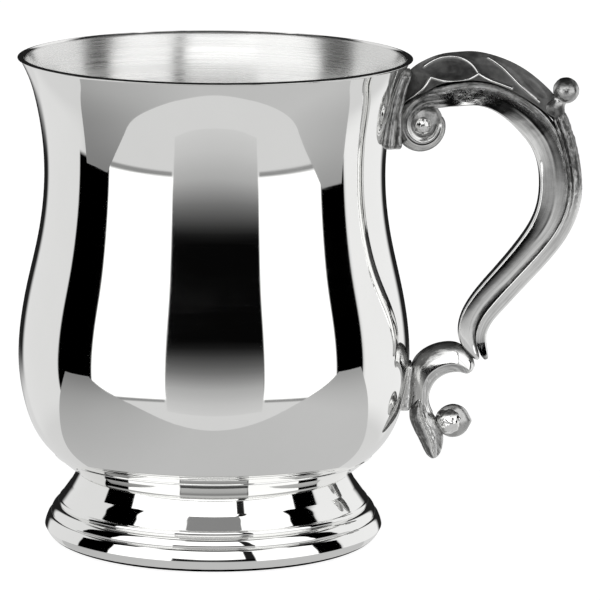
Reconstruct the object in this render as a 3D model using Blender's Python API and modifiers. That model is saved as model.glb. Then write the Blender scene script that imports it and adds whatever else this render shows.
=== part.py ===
"""A pewter bell tankard: spun bowl and foot, and a cast double-scroll handle.

Units are metres, +Z is up, the tankard stands on Z = 0 and the handle points along +X.
Every handle position is given from the bowl's axis, in the upright plane of the handle.
"""
import math

import bmesh
import bpy
import numpy as np
from mathutils import Vector

MM = 0.001

# Driving dimensions
RIM_RADIUS = 47.5 * MM
RIM_HEIGHT = 119.0 * MM
WALL = 1.2 * MM
GAP = 0.3 * MM
AXIS_X = -20.8 * MM
TURN_STEPS = 40
SMALL_TURN_STEPS = 18

# The bowl's outer side, as radius and height from the middle of its bottom to its rim
BOWL_SIDE = (
    (0.0, 17.8), (14.0, 17.9), (25.0, 18.3), (31.0, 19.2), (35.0, 20.7), (38.2, 22.3),
    (41.8, 26.0), (44.0, 28.7), (46.7, 35.7), (47.8, 44.0), (47.4, 52.4), (45.6, 63.1),
    (43.2, 73.8), (41.6, 85.7), (41.7, 97.6), (43.2, 107.1), (45.2, 114.2), (47.5, 119.0),
)

# The neck under the bowl
NECK_RADIUS = 32.0 * MM
NECK_BOTTOM = 16.8 * MM
SOLDER_LEG = 1.7 * MM

# The foot: a domed upper step, a narrow ledge and a round base moulding
FOOT_TOP_RADIUS = 31.4 * MM
DOME_RADIUS = 37.3 * MM
DOME_FOOT_HEIGHT = 9.9 * MM
DOME_SHOULDER = (36.2 * MM, 12.4 * MM)
LEDGE_RADIUS = 38.2 * MM
LEDGE_HEIGHT = 8.6 * MM
BASE_RADIUS = 41.1 * MM
BASE_MIDDLE_HEIGHT = 4.7 * MM
CONTACT_OUTER_RADIUS = 36.6 * MM
CONTACT_INNER_RADIUS = 34.4 * MM

# The main scroll's round bar: x, z and bar radius, from inside the volute to its lower tip
MAIN_BAR = (
    (49.0, 107.6, 3.1), (53.5, 109.3, 3.1), (58.0, 110.2, 3.0), (64.2, 110.3, 3.0),
    (70.2, 107.9, 3.1), (75.6, 103.8, 3.3), (80.2, 97.8, 3.4), (82.3, 89.0, 3.5),
    (80.9, 80.0, 3.4), (75.8, 71.8, 2.9), (69.4, 64.4, 2.6), (64.4, 58.6, 2.3),
    (61.8, 52.6, 2.2), (62.1, 49.2, 2.0), (63.4, 46.4, 1.3), (64.7, 44.3, 0.7),
)
VOLUTE_X = 48.2 * MM
VOLUTE_Z = 104.0 * MM
VOLUTE_RADIUS = 7.8 * MM
VOLUTE_HALF_WIDTH = 4.6 * MM
BOSS_X = 50.2 * MM
BOSS_Z = 102.8 * MM
BOSS_RADIUS = 2.6 * MM

# The spine strip along the bar's back: x, z of its middle line and its scale
SPINE_LINE = (
    (83.2, 106.0, 1.0), (85.3, 100.4, 1.05), (87.5, 91.5, 1.0), (87.8, 86.0, 1.0),
    (86.5, 79.8, 1.0), (82.6, 72.8, 1.0), (78.3, 67.6, 0.98), (73.2, 61.9, 0.95),
    (69.1, 57.2, 0.9), (66.4, 53.4, 0.8), (65.5, 49.8, 0.72), (66.1, 46.6, 0.62),
    (66.6, 44.4, 0.5),
)
SPINE_THICKNESS = 2.9 * MM
SPINE_WIDTH = 8.0 * MM

# The leaf cap's stations: base x and z, ridge x and z, half width
LEAF_STATIONS = (
    (47.3, 109.6, 48.6, 116.9, 4.6), (50.0, 110.9, 51.9, 118.8, 5.6),
    (53.6, 112.9, 55.4, 119.9, 6.0), (58.0, 113.9, 58.8, 120.3, 6.0),
    (62.4, 114.1, 62.9, 120.4, 5.8), (66.8, 113.4, 68.0, 119.3, 5.5),
    (71.6, 111.4, 73.6, 116.9, 5.0), (76.4, 108.8, 78.4, 113.5, 4.2),
    (79.4, 106.9, 81.2, 110.9, 3.2),
)
LEAF_HOLLOW = 0.38

# The thumb ball on its short neck
BALL_X = 85.0 * MM
BALL_Z = 111.0 * MM
BALL_RADIUS = 3.15 * MM
BALL_NECK_RADIUS = 1.7 * MM
BALL_NECK_LENGTH = 3.7 * MM
BALL_LEAN = math.radians(33.0)

# The two pads that the handle is soldered to
UPPER_PAD_BOTTOM = 96.8 * MM
UPPER_PAD_TOP = 115.6 * MM
UPPER_PAD_HALF_WIDTH = 5.6 * MM
UPPER_PAD_THICKNESS = 1.3 * MM
LOWER_PAD_BOTTOM = 31.2 * MM
LOWER_PAD_TOP = 44.4 * MM
LOWER_PAD_HALF_WIDTH = 4.2 * MM
LOWER_PAD_FACE_X = 48.6 * MM

# The lower scroll's outline, from its top by the pad, over to its tip and back under,
# and the corners that it keeps sharp
LOWER_SCROLL = (
    (48.9, 45.0), (50.6, 46.4), (53.2, 47.9), (56.2, 48.6), (58.9, 48.6), (60.6, 46.7),
    (62.0, 45.0), (64.2, 42.8), (62.7, 40.7), (60.3, 41.3), (57.1, 41.0), (54.8, 39.6),
    (53.3, 37.4), (52.6, 34.6), (53.0, 32.6), (53.6, 31.4), (48.9, 31.4),
)
LOWER_SCROLL_CORNERS = ((48.9, 45.0), (58.9, 48.6), (64.2, 42.8), (53.6, 31.4), (48.9, 31.4))
LOWER_SCROLL_HALF_WIDTH = 3.7 * MM
LOWER_BALL_X = 58.7 * MM
LOWER_BALL_Z = 29.0 * MM
LOWER_BALL_RADIUS = 4.15 * MM

# The tail drop's outline, from the lower scroll down to its tip and back up to the ball
TAIL_DROP = (
    (47.4, 31.0), (48.9, 27.3), (51.0, 23.4), (52.8, 19.9), (54.0, 19.0), (55.5, 20.0),
    (56.3, 22.4), (56.5, 24.4), (54.9, 25.8), (54.1, 28.0), (53.9, 31.0),
)
TAIL_CORNERS = ((47.4, 31.0), (53.9, 31.0), (56.5, 24.4))
TAIL_HALF_WIDTH = 2.6 * MM

COLOURS = {
    "polished": ((0.78, 0.78, 0.77), 0.08),
    "solder": ((0.66, 0.66, 0.65), 0.22),
    "cast": ((0.56, 0.56, 0.55), 0.27),
    "leaf": ((0.42, 0.42, 0.42), 0.35),
}


def material(name, finish):
    colour, roughness = COLOURS[finish]
    made = bpy.data.materials.new(name)
    made.use_nodes = True
    shader = made.node_tree.nodes["Principled BSDF"]
    shader.inputs["Base Color"].default_value = (*colour, 1.0)
    shader.inputs["Metallic"].default_value = 1.0
    shader.inputs["Roughness"].default_value = roughness
    return made


def clear_scene():
    for old in list(bpy.data.objects):
        bpy.data.objects.remove(old, do_unlink=True)


def new_collection(name):
    made = bpy.data.collections.new(name)
    bpy.context.scene.collection.children.link(made)
    return made


clear_scene()
PARTS = new_collection("pewter_tankard")
CUTTERS = new_collection("cutters")
BOWL_AXIS = bpy.data.objects.new("bowl_axis", None)
BOWL_AXIS.location = (AXIS_X, 0.0, 0.0)
PARTS.objects.link(BOWL_AXIS)


def add_part(name, data, finish):
    """Link a mesh or curve as a named sub-part that stands on the bowl's axis."""
    part = bpy.data.objects.new(name, data)
    part.parent = BOWL_AXIS
    PARTS.objects.link(part)
    data.materials.append(material(name, finish))
    return part


def add_cutter(name, data):
    cutter = bpy.data.objects.new(name, data)
    cutter.parent = BOWL_AXIS
    cutter.hide_render = True
    cutter.display_type = "WIRE"
    CUTTERS.objects.link(cutter)
    return cutter


def natural_spline(points, per_span):
    """Points along the natural cubic spline through points, by chord length."""
    knots = np.array(points, dtype=float)
    steps = np.linalg.norm(np.diff(knots, axis=0), axis=1)
    along = np.concatenate(([0.0], np.cumsum(steps)))
    count = len(knots)
    system = np.eye(count)
    right = np.zeros_like(knots)
    for i in range(1, count - 1):
        before, after = steps[i - 1], steps[i]
        system[i, i - 1:i + 2] = before, 2.0 * (before + after), after
        slopes = (knots[i + 1] - knots[i]) / after - (knots[i] - knots[i - 1]) / before
        right[i] = 6.0 * slopes
    bends = np.linalg.solve(system, right)
    curve = []
    for i in range(count - 1):
        span = steps[i]
        for share in np.arange(per_span) / per_span:
            near, far = 1.0 - share, share
            value = near * knots[i] + far * knots[i + 1]
            value += (near ** 3 - near) * span ** 2 / 6.0 * bends[i]
            value += (far ** 3 - far) * span ** 2 / 6.0 * bends[i + 1]
            curve.append(value)
    curve.append(knots[-1])
    return np.array(curve)


def offset(curve, distance):
    """The curve moved sideways, to the right of its direction of travel."""
    direction = np.gradient(curve, axis=0)
    direction /= np.linalg.norm(direction, axis=1)[:, None]
    side = np.column_stack((direction[:, 1], -direction[:, 0]))
    return curve + distance * side


def outer_side(distance=0.0, per_span=2):
    """The bowl's outer side moved outwards, from its bottom on the axis to its rim."""
    curve = offset(natural_spline(np.array(BOWL_SIDE) * MM, per_span), distance)
    curve[0, 0] = 0.0
    return curve


def underside_height(radius, distance):
    """The height of the bowl's underside at a radius, moved outwards by a distance."""
    side = outer_side(distance)
    widest = int(np.argmax(side[:, 0]))
    return float(np.interp(radius, side[:widest, 0], side[:widest, 1]))


def profile_mesh(name, points, closed):
    """A wire profile in the XZ plane, points given as radius and height."""
    mesh = bpy.data.meshes.new(name)
    count = len(points)
    edges = [(i, i + 1) for i in range(count - 1)]
    if closed:
        edges.append((count - 1, 0))
    mesh.from_pydata([(float(r), 0.0, float(z)) for r, z in points], edges, [])
    return mesh


def turn(part, steps):
    screw = part.modifiers.new("turned", "SCREW")
    screw.axis = "Z"
    screw.angle = math.tau
    screw.steps = steps
    screw.render_steps = steps
    screw.use_merge_vertices = True
    screw.merge_threshold = 0.00001
    screw.use_smooth_shade = True


def turned_part(name, points, finish, closed=False, steps=TURN_STEPS):
    part = add_part(name, profile_mesh(name, points, closed), finish)
    turn(part, steps)
    return part


def turned_cutter(name, points):
    cutter = add_cutter(name, profile_mesh(name, points, False))
    turn(cutter, TURN_STEPS)
    return cutter


def boolean(part, cutter, operation):
    step = part.modifiers.new(cutter.name, "BOOLEAN")
    step.operation = operation
    step.object = cutter
    step.solver = "EXACT"


def arc(centre, radius, start, end, count):
    """Points on an arc, angles in degrees from the outward radius, positive upwards."""
    angles = np.radians(np.linspace(start, end, count))
    return [(centre[0] + radius * math.cos(a), centre[1] + radius * math.sin(a)) for a in angles]


def rounded(start, corner, end, count):
    """Points from start to end on a parabola that leaves and arrives towards corner."""
    points = []
    for t in np.linspace(0.0, 1.0, count):
        weights = ((1.0 - t) ** 2, 2.0 * t * (1.0 - t), t ** 2)
        points.append(tuple(sum(w * p[axis] for w, p in zip(weights, (start, corner, end)))
                            for axis in (0, 1)))
    return points


def quarter_ellipse(start, corner, end, count):
    """Points from start to end on an ellipse quarter that bulges towards corner."""
    start, corner, end = (np.array(p) for p in (start, corner, end))
    centre = start + end - corner
    points = []
    for angle in np.linspace(0.0, math.pi / 2.0, count):
        points.append(tuple(centre + math.cos(angle) * (start - centre)
                            + math.sin(angle) * (end - centre)))
    return points


def plane_curve(name, points, closed, corners=()):
    """A flat curve in the handle's upright plane, points given as x, z and scale."""
    data = bpy.data.curves.new(name, "CURVE")
    data.dimensions = "2D"
    data.resolution_u = 3
    spline = data.splines.new("BEZIER")
    spline.bezier_points.add(len(points) - 1)
    for knot, (x, z, scale) in zip(spline.bezier_points, points):
        knot.co = (x * MM, z * MM, 0.0)
        handle = "VECTOR" if (x, z) in corners else "AUTO"
        knot.handle_left_type = handle
        knot.handle_right_type = handle
        knot.radius = scale
    spline.use_cyclic_u = closed
    return data


def stand_up(part):
    """Turn a flat curve's own XY plane into the handle's upright XZ plane."""
    part.rotation_euler = (math.pi / 2.0, 0.0, 0.0)


def as_mesh(part):
    """The part as a welded mesh object, in place of its curve."""
    bpy.context.view_layer.update()
    graph = bpy.context.evaluated_depsgraph_get()
    mesh = bpy.data.meshes.new_from_object(part.evaluated_get(graph))
    shape = bmesh.new()
    shape.from_mesh(mesh)
    bmesh.ops.remove_doubles(shape, verts=shape.verts, dist=0.00002)
    bmesh.ops.recalc_face_normals(shape, faces=shape.faces)
    shape.to_mesh(mesh)
    shape.free()
    name = part.name
    place = part.matrix_world.copy()
    curve = part.data
    bpy.data.objects.remove(part, do_unlink=True)
    bpy.data.curves.remove(curve)
    solid = bpy.data.objects.new(name, mesh)
    PARTS.objects.link(solid)
    solid.parent = BOWL_AXIS
    solid.matrix_world = place
    mesh.shade_smooth()
    mesh.set_sharp_from_angle(angle=math.radians(40.0))
    return solid


def plate(name, outline, corners, half_width, edge, finish):
    """A flat outline in the handle's plane, made thick with rounded edges."""
    points = [(x, z, 1.0) for x, z in outline]
    data = plane_curve(name, points, True, corners)
    data.fill_mode = "BOTH"
    data.extrude = half_width - edge
    data.bevel_depth = edge
    data.bevel_resolution = 1
    data.offset = -edge
    part = add_part(name, data, finish)
    stand_up(part)
    return as_mesh(part)


def lofted_mesh(name, sections):
    """A closed solid through rings of equal point counts, with flat ends."""
    shape = bmesh.new()
    rings = [[shape.verts.new(point) for point in ring] for ring in sections]
    count = len(rings[0])
    for near, far in zip(rings, rings[1:]):
        for i in range(count):
            j = (i + 1) % count
            shape.faces.new((near[i], near[j], far[j], far[i]))
    shape.faces.new(list(reversed(rings[0])))
    shape.faces.new(rings[-1])
    bmesh.ops.recalc_face_normals(shape, faces=shape.faces)
    mesh = bpy.data.meshes.new(name)
    shape.to_mesh(mesh)
    shape.free()
    return mesh


def block(name, low, high, finish):
    """A box between two corners."""
    shape = bmesh.new()
    bmesh.ops.create_cube(shape, size=1.0)
    low, high = Vector(low), Vector(high)
    for vert in shape.verts:
        middle = (low + high) / 2.0
        size = high - low
        vert.co = middle + Vector(a * b for a, b in zip(vert.co, size))
    mesh = bpy.data.meshes.new(name)
    shape.to_mesh(mesh)
    shape.free()
    return add_part(name, mesh, finish)


def make_bowl():
    outside = outer_side()
    inside = outer_side(-WALL, per_span=1)
    inside = inside[inside[:, 1] < RIM_HEIGHT - 0.5 * WALL]
    lip = arc((RIM_RADIUS - WALL / 2.0, RIM_HEIGHT - WALL / 2.0), WALL / 2.0, 180, 0, 5)
    outside = outside[outside[:, 1] < RIM_HEIGHT - 0.5 * WALL]
    profile = [tuple(p) for p in inside] + lip + [tuple(p) for p in outside[::-1]]
    return turned_part("bowl", profile, "polished")


def make_neck():
    inner = NECK_RADIUS - WALL
    bottom = NECK_BOTTOM + GAP
    collar = [(inner, underside_height(inner, GAP)), (NECK_RADIUS, underside_height(NECK_RADIUS, GAP)),
              (NECK_RADIUS, bottom), (inner, bottom)]
    turned_part("neck_collar", collar, "polished", closed=True)
    near = NECK_RADIUS + GAP
    far = near + SOLDER_LEG
    rise = underside_height(near, GAP)
    hollow = (near + 0.35 * SOLDER_LEG, rise - 0.1 * SOLDER_LEG)
    fillet = [(near, rise), (far, underside_height(far, GAP)), hollow, (near, rise - 0.75 * SOLDER_LEG)]
    turned_part("neck_solder_fillet", fillet, "solder", closed=True)


def foot_outside():
    """The foot's outer side from its top edge down to the table."""
    points = rounded((FOOT_TOP_RADIUS, NECK_BOTTOM), DOME_SHOULDER, (DOME_RADIUS, DOME_FOOT_HEIGHT), 7)
    points += [(LEDGE_RADIUS, DOME_FOOT_HEIGHT - 0.3 * MM), (LEDGE_RADIUS, LEDGE_HEIGHT)]
    points += quarter_ellipse((LEDGE_RADIUS + 0.3 * MM, LEDGE_HEIGHT), (BASE_RADIUS, LEDGE_HEIGHT),
                              (BASE_RADIUS, BASE_MIDDLE_HEIGHT), 6)
    points += quarter_ellipse((BASE_RADIUS, BASE_MIDDLE_HEIGHT), (BASE_RADIUS, 0.0),
                              (CONTACT_OUTER_RADIUS, 0.0), 7)[1:]
    return points


def make_foot():
    outside = foot_outside()
    inside = [(CONTACT_INNER_RADIUS, 0.0), (CONTACT_INNER_RADIUS + 0.6 * MM, 2.0 * MM),
              (DOME_RADIUS - WALL, LEDGE_HEIGHT), (DOME_RADIUS - 1.3 * WALL, DOME_FOOT_HEIGHT),
              (FOOT_TOP_RADIUS + 1.6 * MM, NECK_BOTTOM - 3.0 * MM),
              (FOOT_TOP_RADIUS - WALL, NECK_BOTTOM - 1.2 * WALL),
              (FOOT_TOP_RADIUS - WALL, NECK_BOTTOM)]
    return turned_part("foot", outside + inside, "polished", closed=True)


def keep_clear(name, distance):
    """A solid of the bowl's outer shape, grown by a distance, that cuts what is soldered on."""
    side = [tuple(p) for p in outer_side(distance)[::-1]]
    top = side[0][1] + 6.0 * MM
    return turned_cutter(name, [(0.0, top), (side[0][0] + 4.0 * MM, top)] + side)


def make_pads(bowl_clear):
    upper = block("upper_pad", (38.0 * MM, -UPPER_PAD_HALF_WIDTH, UPPER_PAD_BOTTOM),
                  (50.0 * MM, UPPER_PAD_HALF_WIDTH, UPPER_PAD_TOP), "cast")
    pad_skin = keep_clear("pad_skin_shape", GAP + UPPER_PAD_THICKNESS)
    boolean(upper, pad_skin, "INTERSECT")
    boolean(upper, bowl_clear, "DIFFERENCE")
    lower = block("lower_pad", (40.0 * MM, -LOWER_PAD_HALF_WIDTH, LOWER_PAD_BOTTOM),
                  (LOWER_PAD_FACE_X, LOWER_PAD_HALF_WIDTH, LOWER_PAD_TOP), "cast")
    boolean(lower, bowl_clear, "DIFFERENCE")


def make_leaf_clearance():
    """A wide cutter that keeps the leaf cap's seat clear of the bar and the volute."""
    rings = []
    for base_x, base_z, ridge_x, ridge_z, _ in LEAF_STATIONS:
        base = Vector((base_x, 0.0, base_z)) * MM
        rise = Vector((ridge_x, 0.0, ridge_z)) * MM - base
        low = base - rise.normalized() * GAP
        high = base + rise * 1.6
        wide = Vector((0.0, 2.0 * VOLUTE_HALF_WIDTH, 0.0))
        rings.append([low + wide, high + wide, high - wide, low - wide])
    first, second = rings[0], rings[1]
    rings.insert(0, [2.5 * near - 1.5 * far for near, far in zip(first, second)])
    return add_cutter("leaf_clearance", lofted_mesh("leaf_clearance", rings))


def make_main_scroll(pad_clear, leaf_clear):
    widest = max(radius for _, _, radius in MAIN_BAR)
    points = [(x, z, radius / widest) for x, z, radius in MAIN_BAR]
    data = plane_curve("handle_main_scroll", points, False)
    data.bevel_depth = widest * MM
    data.bevel_resolution = 3
    data.use_fill_caps = True
    bar = add_part("handle_main_scroll", data, "cast")
    stand_up(bar)
    bar = as_mesh(bar)
    drum = bmesh.new()
    bmesh.ops.create_cone(drum, cap_ends=True, segments=28, radius1=VOLUTE_RADIUS,
                          radius2=VOLUTE_RADIUS, depth=2.0 * VOLUTE_HALF_WIDTH)
    mesh = bpy.data.meshes.new("volute_shape")
    drum.to_mesh(mesh)
    drum.free()
    volute = add_cutter("volute_shape", mesh)
    volute.location = (VOLUTE_X, 0.0, VOLUTE_Z)
    volute.rotation_euler = (math.pi / 2.0, 0.0, 0.0)
    edge = volute.modifiers.new("rounded", "BEVEL")
    edge.width = 0.9 * MM
    edge.segments = 2
    boolean(bar, volute, "UNION")
    boolean(bar, pad_clear, "DIFFERENCE")
    boolean(bar, leaf_clear, "DIFFERENCE")


def make_bosses():
    for name, side in (("volute_boss_front", -1.0), ("volute_boss_rear", 1.0)):
        dome = [(0.0, 0.6 * BOSS_RADIUS)]
        dome += arc((0.0, -0.4 * BOSS_RADIUS), BOSS_RADIUS, 66, 24, 5)
        dome += [(0.0, 0.0)]
        boss = turned_part(name, dome, "cast", steps=SMALL_TURN_STEPS)
        boss.location = (BOSS_X, side * (VOLUTE_HALF_WIDTH + GAP), BOSS_Z)
        boss.rotation_euler = (-side * math.pi / 2.0, 0.0, 0.0)


def make_spine():
    half_thick = SPINE_THICKNESS / 2.0
    half_wide = SPINE_WIDTH / 2.0
    corner = 0.8 * MM
    shape = bpy.data.curves.new("spine_section", "CURVE")
    shape.dimensions = "2D"
    spline = shape.splines.new("POLY")
    ring = [(half_thick, half_wide - corner), (half_thick - corner, half_wide),
            (corner - half_thick, half_wide), (-half_thick, half_wide - corner),
            (-half_thick, corner - half_wide), (corner - half_thick, -half_wide),
            (half_thick - corner, -half_wide), (half_thick, corner - half_wide)]
    spline.points.add(len(ring) - 1)
    for knot, (x, y) in zip(spline.points, ring):
        knot.co = (x, y, 0.0, 1.0)
    spline.use_cyclic_u = True
    section = add_cutter("spine_section", shape)
    data = plane_curve("handle_spine", SPINE_LINE, False)
    data.bevel_mode = "OBJECT"
    data.bevel_object = section
    data.use_fill_caps = True
    spine = add_part("handle_spine", data, "cast")
    stand_up(spine)
    return as_mesh(spine)


def make_leaf(pad_clear):
    sections = []
    for base_x, base_z, ridge_x, ridge_z, half_width in LEAF_STATIONS:
        base = Vector((base_x, 0.0, base_z)) * MM
        ridge = Vector((ridge_x, 0.0, ridge_z)) * MM
        wide = Vector((0.0, half_width * MM, 0.0))
        rise = ridge - base
        ring = [base + wide, base + 0.12 * rise + wide, base + LEAF_HOLLOW * rise + 0.52 * wide,
                base + 0.93 * rise + 0.12 * wide, ridge, base + 0.93 * rise - 0.12 * wide,
                base + LEAF_HOLLOW * rise - 0.52 * wide, base + 0.12 * rise - wide, base - wide]
        sections.append(ring)
    leaf = add_part("handle_leaf_cap", lofted_mesh("handle_leaf_cap", sections), "leaf")
    boolean(leaf, pad_clear, "DIFFERENCE")


def make_thumb_ball():
    start = -math.degrees(math.acos(BALL_NECK_RADIUS / BALL_RADIUS))
    profile = [(0.0, BALL_RADIUS)] + arc((0.0, 0.0), BALL_RADIUS, 75, start, 9)
    profile += [(BALL_NECK_RADIUS, -BALL_NECK_LENGTH), (0.0, -BALL_NECK_LENGTH)]
    ball = turned_part("thumb_ball", profile, "cast", steps=SMALL_TURN_STEPS)
    ball.location = (BALL_X, 0.0, BALL_Z)
    ball.rotation_euler = (0.0, BALL_LEAN, 0.0)


def make_lower_ball():
    shape = bmesh.new()
    bmesh.ops.create_uvsphere(shape, u_segments=20, v_segments=12, radius=LOWER_BALL_RADIUS)
    mesh = bpy.data.meshes.new("lower_scroll_ball")
    shape.to_mesh(mesh)
    shape.free()
    mesh.shade_smooth()
    ball = add_part("lower_scroll_ball", mesh, "cast")
    ball.location = (LOWER_BALL_X, 0.0, LOWER_BALL_Z)


def make_tankard():
    bowl_clear = keep_clear("bowl_clearance", GAP)
    pad_clear = keep_clear("pad_clearance", 2.0 * GAP + UPPER_PAD_THICKNESS)
    make_bowl()
    make_neck()
    make_foot()
    make_pads(bowl_clear)
    make_main_scroll(pad_clear, make_leaf_clearance())
    make_bosses()
    make_spine()
    make_leaf(pad_clear)
    make_thumb_ball()
    plate("lower_scroll", LOWER_SCROLL, LOWER_SCROLL_CORNERS, LOWER_SCROLL_HALF_WIDTH,
          1.0 * MM, "cast")
    make_lower_ball()
    plate("tail_drop", TAIL_DROP, TAIL_CORNERS, TAIL_HALF_WIDTH, 0.7 * MM, "cast")


make_tankard()
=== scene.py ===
"""Looks of the pewter tankard: fine meshes, pewter materials and a soft studio.

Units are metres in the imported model's frame. Handle sizes are given in millimetres from the
bowl's axis, in the upright plane of the handle, as in the CAD source.
"""
import math

import bpy
import numpy as np
from mathutils import Matrix, Vector, noise


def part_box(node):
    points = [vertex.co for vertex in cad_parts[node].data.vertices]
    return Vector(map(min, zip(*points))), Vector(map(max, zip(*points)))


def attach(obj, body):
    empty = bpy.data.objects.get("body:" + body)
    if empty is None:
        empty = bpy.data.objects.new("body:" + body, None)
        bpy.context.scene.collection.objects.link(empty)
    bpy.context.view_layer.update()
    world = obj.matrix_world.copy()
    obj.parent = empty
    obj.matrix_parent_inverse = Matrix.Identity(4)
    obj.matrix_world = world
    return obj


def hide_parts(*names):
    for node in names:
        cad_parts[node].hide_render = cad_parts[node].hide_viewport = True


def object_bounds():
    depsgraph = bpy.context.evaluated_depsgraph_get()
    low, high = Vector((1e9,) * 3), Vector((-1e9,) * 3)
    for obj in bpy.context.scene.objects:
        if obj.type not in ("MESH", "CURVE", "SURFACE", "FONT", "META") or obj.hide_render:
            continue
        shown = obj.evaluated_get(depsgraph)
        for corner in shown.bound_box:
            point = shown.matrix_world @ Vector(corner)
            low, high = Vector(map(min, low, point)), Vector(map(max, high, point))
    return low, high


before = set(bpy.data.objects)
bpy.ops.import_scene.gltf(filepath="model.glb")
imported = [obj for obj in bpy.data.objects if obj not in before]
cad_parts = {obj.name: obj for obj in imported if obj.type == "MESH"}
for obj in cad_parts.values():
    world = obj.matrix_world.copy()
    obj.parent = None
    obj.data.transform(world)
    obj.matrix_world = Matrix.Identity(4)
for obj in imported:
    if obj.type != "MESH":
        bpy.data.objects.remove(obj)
CAD_LOW, CAD_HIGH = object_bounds()

MM = 0.001
BODY = "root"
BOWL_LOW, BOWL_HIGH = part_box("bowl")
AXIS_X = (BOWL_LOW.x + BOWL_HIGH.x) / 2.0
TABLE_Z = CAD_LOW.z
RIM_RADIUS = (BOWL_HIGH.y - BOWL_LOW.y) / 2.0
RIM_HEIGHT = BOWL_HIGH.z - TABLE_Z
WALL = 1.2 * MM

# Camera: distance in front of the bowl's axis and height in metres, aim, and lens in mm
CAMERA_DISTANCE = 1.0921
CAMERA_HEIGHT = 0.2684
CAMERA_PITCH = math.radians(10.855)
CAMERA_YAW = math.radians(1.097)
CAMERA_ROLL = math.radians(-0.469)
CAMERA_LENS = 273.24
CAMERA_SENSOR = 36.0

# Studio: each panel is left, right, bottom and top in degrees seen from the tankard, where
# 0 is towards the camera, with its brightness and the softness of its edges in degrees
PANELS = (
    ("side_wall_left", -152.0, -100.0, -24.0, 40.0, 0.80, 4.0),
    ("side_wall_right", 96.0, 152.0, -24.0, 40.0, 0.93, 4.0),
    ("front_ceiling", -29.0, 29.0, 50.0, 64.0, 0.26, 1.5),
    ("softbox_left", -76.0, -28.0, -17.0, 61.0, 1.35, 0.7),
    ("softbox_right", 29.0, 76.0, -17.0, 61.0, 1.30, 0.7),
    ("softbox_edge_left", -75.0, -29.0, -18.6, -17.0, 0.30, 0.5),
    ("softbox_edge_right", 30.0, 75.0, -18.6, -17.0, 0.30, 0.5),
    ("flag_left", -103.5, -76.0, -17.5, 52.0, 0.0, 0.7),
    ("flag_right", 76.0, 97.0, -17.5, 52.0, 0.0, 0.7),
    ("front_gap", -28.0, 29.0, -24.0, 16.5, 0.0, 0.7),
    ("front_softbox", -29.0, 22.0, 17.0, 51.0, 1.70, 0.7),
)
# How the dark room between the softboxes brightens downwards: the ends of the fade in degrees
# over the horizon, then share of the way up between them and brightness
GAP_FADE_ENDS = (-25.0, 5.0)
GAP_FADE = (
    (0.0, 0.66), (0.25, 0.60), (0.38, 0.42), (0.50, 0.24), (0.63, 0.12), (0.80, 0.035), (1.0, 0.002),
)
# The rest of the room, and the degrees over the horizon between which one part fades to the next
FLOOR_GLOW = 0.72
FLOOR_TO_BACK = (-16.0, -10.0)
BACK_BRIGHTNESS = 0.015
BACK_TO_CEILING = (44.0, 56.0)
CEILING_BRIGHTNESS = 0.075


# ---------------------------------------------------------------- curves and meshes

def natural_spline(points, per_span):
    """Points along the natural cubic spline through points, by chord length."""
    knots = np.array(points, dtype=float)
    steps = np.linalg.norm(np.diff(knots[:, :2], axis=0), axis=1)
    count = len(knots)
    system = np.eye(count)
    right = np.zeros_like(knots)
    for i in range(1, count - 1):
        before, after = steps[i - 1], steps[i]
        system[i, i - 1:i + 2] = before, 2.0 * (before + after), after
        slopes = (knots[i + 1] - knots[i]) / after - (knots[i] - knots[i - 1]) / before
        right[i] = 6.0 * slopes
    bends = np.linalg.solve(system, right)
    curve = []
    for i in range(count - 1):
        span = steps[i]
        for far in np.arange(per_span) / per_span:
            near = 1.0 - far
            value = near * knots[i] + far * knots[i + 1]
            value = value + (near ** 3 - near) * span ** 2 / 6.0 * bends[i]
            value = value + (far ** 3 - far) * span ** 2 / 6.0 * bends[i + 1]
            curve.append(value)
    curve.append(knots[-1])
    return np.array(curve)


def even(curve, count):
    """The curve resampled to count points at even distances."""
    curve = np.asarray(curve, dtype=float)
    steps = np.linalg.norm(np.diff(curve[:, :2], axis=0), axis=1)
    along = np.concatenate(([0.0], np.cumsum(steps)))
    places = np.linspace(0.0, along[-1], count)
    return np.column_stack([np.interp(places, along, column) for column in curve.T])


def normals_2d(curve):
    """Unit vectors to the right of the direction of travel."""
    direction = np.gradient(curve[:, :2], axis=0)
    direction /= np.linalg.norm(direction, axis=1)[:, None]
    return np.column_stack((direction[:, 1], -direction[:, 0]))


def smooth_step(low, high, value):
    share = np.clip((value - low) / (high - low), 0.0, 1.0)
    return share * share * (3.0 - 2.0 * share)


def grid_mesh(name, grid, wrap, first_cap=False, last_cap=False):
    """A mesh over a grid of points, rows x columns x 3, with columns joined if wrap."""
    rows, columns = grid.shape[:2]
    points = [tuple(p) for p in grid.reshape(-1, 3)]
    faces = []
    span = columns if wrap else columns - 1
    for i in range(rows - 1):
        for j in range(span):
            k = (j + 1) % columns
            faces.append((i * columns + j, i * columns + k, (i + 1) * columns + k, (i + 1) * columns + j))
    for wanted, row, flip in ((first_cap, 0, True), (last_cap, rows - 1, False)):
        if wanted:
            middle = len(points)
            points.append(tuple(grid[row].mean(axis=0)))
            for j in range(columns):
                a, b = row * columns + j, row * columns + (j + 1) % columns
                faces.append((b, a, middle) if flip else (a, b, middle))
    mesh = bpy.data.meshes.new(name)
    mesh.from_pydata(points, [], faces)
    mesh.shade_smooth()
    return mesh


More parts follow.
